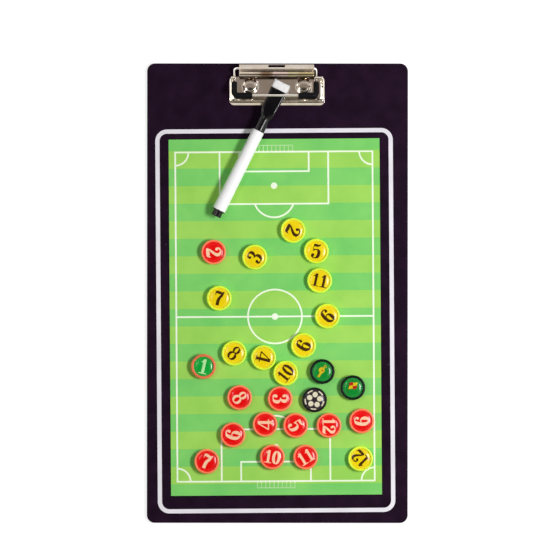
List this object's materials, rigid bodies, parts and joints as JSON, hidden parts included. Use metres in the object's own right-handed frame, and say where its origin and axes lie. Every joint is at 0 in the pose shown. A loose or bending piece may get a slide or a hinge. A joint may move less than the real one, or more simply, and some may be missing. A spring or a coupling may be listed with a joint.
{
  "type": "football tactics board",
  "caption": "Flat black clipboard printed with a striped green football pitch, with a wire paper clip, a clamped marker and loose domed magnetic player counters.",
  "frame": {"origin": "middle of the board's back face, on the surface it lies on", "axes": "+X to the board's right, +Y along the board towards the clip, +Z out of the printed face"},
  "size_m": [0.235, 0.414, 0.0212],
  "materials": {
    "cover_black": "gloss PVC cover",
    "liner_black": "fine-grained liner",
    "hardboard": "pressed fibre board",
    "sheet_steel": "zinc plated",
    "print_white": "printed ink under gloss film",
    "pitch_green": "printed ink under gloss film",
    "pitch_light": "printed ink under gloss film",
    "marking_white": "printed ink under gloss film",
    "nickel": "bright nickel plate",
    "sleeve_black": "soft PVC sleeve",
    "cap_black": "moulded, satin gloss",
    "felt_white": "pressed felt",
    "barrel_white": "moulded, gloss",
    "nose_white": "moulded",
    "fibre_black": "inked fibre",
    "counter_yellow": "moulded, gloss, clear domed face",
    "counter_red": "moulded, gloss, clear domed face",
    "counter_green": "moulded, gloss, clear domed face",
    "counter_black": "moulded, gloss, clear domed face"
  },
  "bodies": {
    "board": {"front_cover": "cover_black", "back_liner": "liner_black", "core_panel": "hardboard", "steel_sheet": "sheet_steel", "border_print": "print_white", "pitch_print": "pitch_green", "pitch_bands": "pitch_light", "pitch_markings": "marking_white", "clip_tray": "nickel", "clip_rivets": "nickel", "rivet_washers": "sheet_steel"},
    "jaw": {"jaw_wire": "nickel", "jaw_sleeve_left": "sleeve_black", "jaw_sleeve_right": "sleeve_black"},
    "lever": {"clip_lever": "nickel"},
    "cap": {"marker_cap": "cap_black", "marker_eraser": "felt_white"},
    "pen": {"marker_barrel": "barrel_white", "marker_end_plug": "cap_black", "marker_nose": "nose_white", "marker_nib": "fibre_black", "ink_reservoir": "fibre_black"},
    "counter_yellow_2": {"counter_yellow_2": "counter_yellow"},
    "counter_yellow_3": {"counter_yellow_3": "counter_yellow"},
    "counter_yellow_4": {"counter_yellow_4": "counter_yellow"},
    "counter_yellow_5": {"counter_yellow_5": "counter_yellow"},
    "counter_yellow_6": {"counter_yellow_6": "counter_yellow"},
    "counter_yellow_7": {"counter_yellow_7": "counter_yellow"},
    "counter_yellow_8": {"counter_yellow_8": "counter_yellow"},
    "counter_yellow_9": {"counter_yellow_9": "counter_yellow"},
    "counter_yellow_10": {"counter_yellow_10": "counter_yellow"},
    "counter_yellow_11": {"counter_yellow_11": "counter_yellow"},
    "counter_yellow_12": {"counter_yellow_12": "counter_yellow"},
    "counter_red_2": {"counter_red_2": "counter_red"},
    "counter_red_3": {"counter_red_3": "counter_red"},
    "counter_red_4": {"counter_red_4": "counter_red"},
    "counter_red_5": {"counter_red_5": "counter_red"},
    "counter_red_6": {"counter_red_6": "counter_red"},
    "counter_red_7": {"counter_red_7": "counter_red"},
    "counter_red_8": {"counter_red_8": "counter_red"},
    "counter_red_9": {"counter_red_9": "counter_red"},
    "counter_red_10": {"counter_red_10": "counter_red"},
    "counter_red_11": {"counter_red_11": "counter_red"},
    "counter_red_12": {"counter_red_12": "counter_red"},
    "counter_green_1": {"counter_green_1": "counter_green"},
    "counter_whistle": {"counter_whistle": "counter_black"},
    "counter_flag": {"counter_flag": "counter_black"},
    "counter_ball": {"counter_ball": "counter_black"}
  },
  "joints": [
    {"name": "jaw_open", "type": "hinge", "parent": "board", "child": "jaw", "pos_m": [-0.002, 0.1937, 0.0079], "axis": [-1, 0, 0], "range_deg": [0, 11.1], "stiffness_Nm_per_rad": 0.05, "springref_deg": -11.46},
    {"name": "lever_flip", "type": "hinge", "parent": "jaw", "child": "lever", "pos_m": [-0.0008, 0.2023, 0.0093], "axis": [-1, 0, 0], "range_deg": [0, 80]},
    {"name": "marker_slide", "type": "slide", "parent": "board", "child": "cap", "axis": [-0.4462, -0.8949, 0], "range_m": [0, 0.021]},
    {"name": "pen_pull", "type": "slide", "parent": "cap", "child": "pen", "axis": [-0.4462, -0.8949, 0], "range_m": [0, 0.0215]},
    {"name": "lift_yellow_2", "type": "slide", "parent": "board", "child": "counter_yellow_2", "axis": [0, 0, 1], "range_m": [0, 0.03]},
    {"name": "lift_yellow_3", "type": "slide", "parent": "board", "child": "counter_yellow_3", "axis": [0, 0, 1], "range_m": [0, 0.03]},
    {"name": "lift_yellow_4", "type": "slide", "parent": "board", "child": "counter_yellow_4", "axis": [0, 0, 1], "range_m": [0, 0.03]},
    {"name": "lift_yellow_5", "type": "slide", "parent": "board", "child": "counter_yellow_5", "axis": [0, 0, 1], "range_m": [0, 0.03]},
    {"name": "lift_yellow_6", "type": "slide", "parent": "board", "child": "counter_yellow_6", "axis": [0, 0, 1], "range_m": [0, 0.03]},
    {"name": "lift_yellow_7", "type": "slide", "parent": "board", "child": "counter_yellow_7", "axis": [0, 0, 1], "range_m": [0, 0.03]},
    {"name": "lift_yellow_8", "type": "slide", "parent": "board", "child": "counter_yellow_8", "axis": [0, 0, 1], "range_m": [0, 0.03]},
    {"name": "lift_yellow_9", "type": "slide", "parent": "board", "child": "counter_yellow_9", "axis": [0, 0, 1], "range_m": [0, 0.03]},
    {"name": "lift_yellow_10", "type": "slide", "parent": "board", "child": "counter_yellow_10", "axis": [0, 0, 1], "range_m": [0, 0.03]},
    {"name": "lift_yellow_11", "type": "slide", "parent": "board", "child": "counter_yellow_11", "axis": [0, 0, 1], "range_m": [0, 0.03]},
    {"name": "lift_yellow_12", "type": "slide", "parent": "board", "child": "counter_yellow_12", "axis": [0, 0, 1], "range_m": [0, 0.03]},
    {"name": "lift_red_2", "type": "slide", "parent": "board", "child": "counter_red_2", "axis": [0, 0, 1], "range_m": [0, 0.03]},
    {"name": "lift_red_3", "type": "slide", "parent": "board", "child": "counter_red_3", "axis": [0, 0, 1], "range_m": [0, 0.03]},
    {"name": "lift_red_4", "type": "slide", "parent": "board", "child": "counter_red_4", "axis": [0, 0, 1], "range_m": [0, 0.03]},
    {"name": "lift_red_5", "type": "slide", "parent": "board", "child": "counter_red_5", "axis": [0, 0, 1], "range_m": [0, 0.03]},
    {"name": "lift_red_6", "type": "slide", "parent": "board", "child": "counter_red_6", "axis": [0, 0, 1], "range_m": [0, 0.03]},
    {"name": "lift_red_7", "type": "slide", "parent": "board", "child": "counter_red_7", "axis": [0, 0, 1], "range_m": [0, 0.03]},
    {"name": "lift_red_8", "type": "slide", "parent": "board", "child": "counter_red_8", "axis": [0, 0, 1], "range_m": [0, 0.03]},
    {"name": "lift_red_9", "type": "slide", "parent": "board", "child": "counter_red_9", "axis": [0, 0, 1], "range_m": [0, 0.03]},
    {"name": "lift_red_10", "type": "slide", "parent": "board", "child": "counter_red_10", "axis": [0, 0, 1], "range_m": [0, 0.03]},
    {"name": "lift_red_11", "type": "slide", "parent": "board", "child": "counter_red_11", "axis": [0, 0, 1], "range_m": [0, 0.03]},
    {"name": "lift_red_12", "type": "slide", "parent": "board", "child": "counter_red_12", "axis": [0, 0, 1], "range_m": [0, 0.03]},
    {"name": "lift_green_1", "type": "slide", "parent": "board", "child": "counter_green_1", "axis": [0, 0, 1], "range_m": [0, 0.03]},
    {"name": "lift_whistle", "type": "slide", "parent": "board", "child": "counter_whistle", "axis": [0, 0, 1], "range_m": [0, 0.03]},
    {"name": "lift_flag", "type": "slide", "parent": "board", "child": "counter_flag", "axis": [0, 0, 1], "range_m": [0, 0.03]},
    {"name": "lift_ball", "type": "slide", "parent": "board", "child": "counter_ball", "axis": [0, 0, 1], "range_m": [0, 0.03]}
  ],
  "couplings": [
    {"joint": "jaw_open", "follows": "lever_flip", "ratio": 0.1375}
  ]
}
